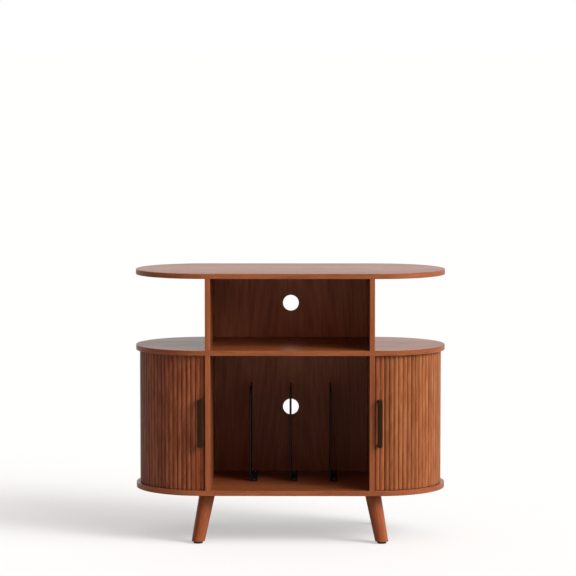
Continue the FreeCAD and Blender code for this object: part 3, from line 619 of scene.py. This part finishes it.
# Screws with their recesses and threads, and foot pads with soft rims.
small_screw = screw(cross_recess(half=0.0005, reach=0.0019), depth=0.0011, head=SMALL_HEAD,
                    shank=[(0.00165, 0)], crest=0.00175, pitch=0.0013, start=0.0006, length=0.014)
handle_screw = screw(cross_recess(half=0.0006, reach=0.0022), depth=0.0014, head=HANDLE_HEAD,
                     shank=[(0.0018, 0)], crest=0.002, pitch=0.0007, start=0.0006, length=0.016)
long_screw = screw(hexagon_recess(half=0.002), depth=0.0028, head=LONG_HEAD, shank=LONG_SHANK,
                   crest=0.0025, pitch=0.003, start=0.016, length=0.05)
levels = [FLOOR_Z + share * LOWER_HEIGHT for share in (0.1, 0.5, 0.9)]
levels += [LEDGE_Z + share * UPPER_HEIGHT for share in (0.15, 0.85)]
fitting("back_screws", small_screw,
        [spot(side * SIDE_X, REAR_Y, level, 90) for side in (-1, 1) for level in levels],
        "carcass", zinc)
fitting("record_divider_screws", small_screw,
        [spot(number * DIVIDER_PITCH + DIVIDER_SCREW_X, DIVIDER_REAR - share * DIVIDER_DEPTH,
              FLOOR_Z + PLATE, 180) for number in (-1, 0, 1) for share in (0.15, 0.85)],
        "carcass", zinc)
for hand, side in (("left", -1), ("right", 1)):
    hinge = spot(side * END_X, CENTRE_Y, 0, math.degrees(side * LEAD_ANGLE), "Z")
    handle_z = FLOOR_Z + LOWER_HEIGHT / 2
    fitting(f"handle_screws_{hand}", handle_screw,
            [hinge @ spot(0, -SLAT_RADIUS, handle_z + way * HANDLE_REACH, 90) for way in (-1, 1)],
            f"{hand}_door", zinc)
fitting("carcass_screws", long_screw,
        [spot(side * SIDE_X, CENTRE_Y + row, level)
         for side in (-1, 1) for level in (LEG_TOP, MIDDLE_Z) for row in SCREW_ROWS],
        "carcass", zinc)
pad_loops = [[(0, 0, PAD_HOLLOW)], *(circle(*point, PAD_ANGLES) for point in PAD_PROFILE),
             [(0, 0, PAD_PIN_END)]]
for name in matching("foot_pad"):
    low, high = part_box(name)
    fitting(name, pad_loops, [spot((low[0] + high[0]) / 2, (low[1] + high[1]) / 2, 0)],
            "carcass", pad_plastic)

# The studio's floor: pale, and a little brighter to the camera than its light makes it.
bpy.ops.mesh.primitive_circle_add(vertices=96, radius=STUDIO_RADIUS, fill_type="NGON", location=(0, 0, 0))
floor = bpy.context.object
floor.name = "studio_floor"
floor_shader = Shader("floor_white", Base_Color=FLOOR_GREY, Roughness=1.0, Specular_IOR_Level=0.0,
                      Emission_Color=WHITE)
floor_shader.surface_input("Emission Strength",
                           floor_shader.math("MULTIPLY", floor_shader.camera_ray(), FLOOR_GLOW))
floor.data.materials.append(floor_shader.material)

# The studio's sky: bright low down behind the stand and overhead, with a weaker warm fill in
# front. The camera sees plain white instead.
world = bpy.data.worlds.new("studio")
bpy.context.scene.world = world
world.use_nodes = True
sky = Nodes(world.node_tree)
_, ahead, above = sky.split(sky.where("Generated"))
behind = sky.math("MULTIPLY", sky.spread(ahead, 0.1, 0.6, 0.0, 1.4), sky.spread(above, 0.45, 0.15))
band = sky.math("MULTIPLY", sky.spread(above, 0.75, 0.3), sky.spread(above, 0.0, 0.15))
front = sky.spread(ahead, -0.2, -0.8)
fill = sky.math("MULTIPLY", sky.math("MULTIPLY", front, FILL_STRENGTH), band)
overhead = sky.spread(above, 0.3, 0.9, 0.09, 0.81)
glow = sky.math("ADD", overhead, sky.math("ADD", fill, behind))
dome = sky.add("ShaderNodeBackground", sky.mix(front, SKY_COLOUR, FILL_COLOUR), glow)
seen = sky.add("ShaderNodeBackground", WHITE)
choice = sky.add("ShaderNodeMixShader", sky.camera_ray(), dome.outputs[0], seen.outputs[0])
sky.add("ShaderNodeOutputWorld", choice.outputs[0])


def aim(thing, way):
    """Turn a lamp or a camera to look along a way."""
    thing.rotation_mode = "QUATERNION"
    thing.rotation_quaternion = way.to_track_quat("-Z", "Y")


def sun(name, strength, softness):
    """One part of the key light, from the right and above. softness is its angle in degrees."""
    light = bpy.data.lights.new(name, "SUN")
    light.energy = strength
    light.angle = math.radians(softness)
    light.color = KEY_COLOUR
    lamp = bpy.data.objects.new(name, light)
    bpy.context.scene.collection.objects.link(lamp)
    lamp.location = (0, 0, 5)
    lamp.visible_glossy = False
    turn, lift = math.radians(KEY_AZIMUTH), math.radians(KEY_ELEVATION)
    aim(lamp, -Vector((math.sin(turn) * math.cos(lift), -math.cos(turn) * math.cos(lift), math.sin(lift))))


# The key light is wide and soft, with a stronger core.
sun("key", strength=3.3, softness=56)
sun("key_core", strength=1.85, softness=20)

view = bpy.data.cameras.new("view")
view.sensor_width = SENSOR_WIDTH
view.lens = FOCAL_PIXELS / PHOTO_WIDTH * SENSOR_WIDTH
view.clip_end = 2000
eye = bpy.data.objects.new("view", view)
bpy.context.scene.collection.objects.link(eye)
eye.location = CAMERA_PLACE
turn, drop = math.radians(CAMERA_TURN), math.radians(CAMERA_DROP)
aim(eye, Vector((math.sin(turn) * math.cos(drop), math.cos(turn) * math.cos(drop), -math.sin(drop))))
bpy.context.scene.camera = eye

bpy.context.scene.view_settings.view_transform = "Standard"
